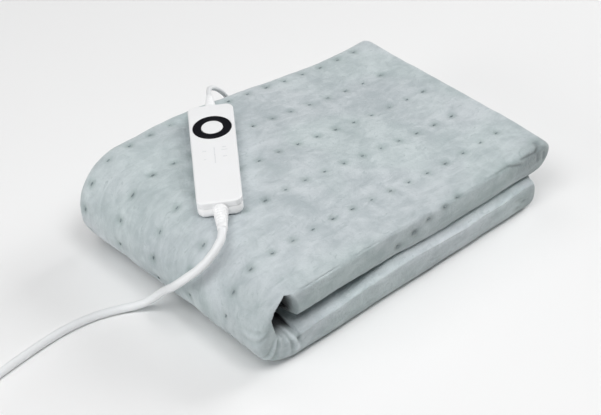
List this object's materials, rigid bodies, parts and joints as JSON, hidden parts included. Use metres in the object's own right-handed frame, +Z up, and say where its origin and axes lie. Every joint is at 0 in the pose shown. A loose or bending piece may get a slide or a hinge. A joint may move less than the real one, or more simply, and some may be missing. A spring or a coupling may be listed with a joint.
{
  "type": "heated mattress pad",
  "caption": "Quilted plush heating pad folded into a thick block around one soft wrap, with a hand control on a lead and a coiled mains lead with plug.",
  "frame": {"origin": "on the resting plane under the middle of the folded pad", "axes": "+X from the big wrap to the folded ends, +Y from the closed front edges to the back edge, +Z up"},
  "size_m": [0.7485, 0.3035, 0.1096],
  "materials": {
    "fleece": "short brushed plush, grey-green with lighter and darker nap",
    "shell": "satin white moulded plastic",
    "ring": "gloss black plastic",
    "cord": "white flexible cord sheath",
    "pins": "plated plug pins"
  },
  "bodies": {
    "pad_and_control": {"pad": "fleece", "control_base": "shell", "control_cover": "shell", "control_ring": "ring", "mains_relief": "shell", "mains_lead": "cord", "mains_coil": "cord", "coil_tie": "shell", "mains_tail": "cord", "plug_relief": "shell", "plug_body": "shell", "plug_pin_left": "pins", "plug_pin_right": "pins", "pad_relief": "shell", "pad_lead": "cord", "connector_relief": "shell", "pad_connector": "shell"},
    "button": {"control_button": "shell"}
  },
  "joints": [
    {"name": "button_press", "type": "slide", "parent": "pad_and_control", "child": "button", "axis": [0.058, -0.0674, -0.996], "range_m": [0, 0.0008], "stiffness_N_per_m": 1500}
  ]
}
